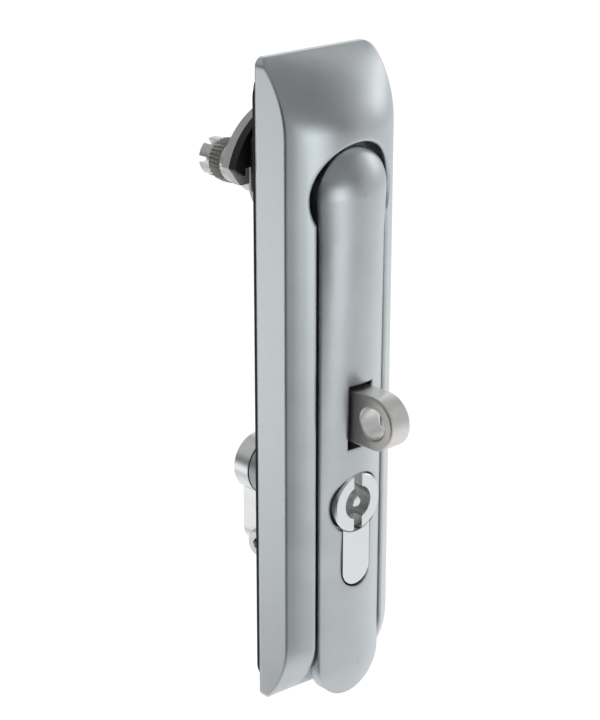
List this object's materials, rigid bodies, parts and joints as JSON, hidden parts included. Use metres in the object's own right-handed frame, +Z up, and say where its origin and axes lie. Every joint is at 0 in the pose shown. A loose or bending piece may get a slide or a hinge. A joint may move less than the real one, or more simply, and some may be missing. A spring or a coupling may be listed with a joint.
{
  "type": "swing handle lock",
  "caption": "Flush swing handle lock for cabinet doors, with a padlock lug, a profile half cylinder that blocks the handle, and a rear drive for cams or rods.",
  "frame": {"origin": "centre of the lock on the face of the door, the plane that the gasket presses on; the door is behind it", "axes": "+X to the right seen from outside, +Y into the door, towards the inside of the cabinet, +Z up along the handle"},
  "size_m": [0.0418, 0.0733, 0.1812],
  "materials": {
    "zinc_body": "satin zinc die-casting, fine soft grain",
    "zinc_handle": "satin zinc die-casting, a shade darker than the housing",
    "rubber_seal": "matt black flat seal",
    "bright_steel": "turned bright steel",
    "zinc_plated_steel": "bright zinc plated sheet steel",
    "screw_steel": "zinc plated screws",
    "black_plastic": "matt black plastic",
    "dark_steel": "dark grey sintered steel",
    "nickel_lug": "warm grey nickel plated steel, satin",
    "cylinder_chrome": "bright nickel-chrome plated brass",
    "black_steel": "black coated sheet steel"
  },
  "bodies": {
    "housing": {"housing": "zinc_body", "gasket": "rubber_seal", "rotor": "bright_steel", "bearing_bush": "black_plastic", "stop_ring": "black_plastic", "cam_plate": "zinc_plated_steel", "drive_sleeve": "bright_steel", "serrated_wheel": "dark_steel", "castle_nut": "bright_steel", "padlock_lug": "nickel_lug", "lug_screws": "screw_steel", "cylinder_body": "cylinder_chrome", "cylinder_screw": "screw_steel", "latch_cover": "zinc_plated_steel", "cover_screws": "screw_steel", "upper_clamp": "black_steel", "lower_clamp": "black_steel", "clamp_screws": "screw_steel", "handle_buffer": "rubber_seal"},
    "handle": {"handle": "zinc_handle", "hinge_pin": "bright_steel", "keeper": "zinc_plated_steel", "keeper_screws": "screw_steel"},
    "plug": {"cylinder_plug": "cylinder_chrome", "key_pin": "bright_steel", "cylinder_cam": "bright_steel"},
    "slide": {"latch_slide": "zinc_plated_steel"}
  },
  "joints": [
    {"name": "handle_lift", "type": "hinge", "parent": "housing", "child": "handle", "pos_m": [0, -0.0105, 0.0553], "axis": [-1, 0, 0], "range_deg": [0, 35]},
    {"name": "plug_turn", "type": "hinge", "parent": "housing", "child": "plug", "pos_m": [0, 0, -0.0304], "axis": [0, 1, 0], "range_deg": [0, 45]},
    {"name": "latch_travel", "type": "slide", "parent": "housing", "child": "slide", "axis": [0, 0, -1], "range_m": [0, 0.0092]}
  ],
  "couplings": [
    {"joint": "plug_turn", "follows": "latch_travel", "rad_per_m": 85.36}
  ]
}
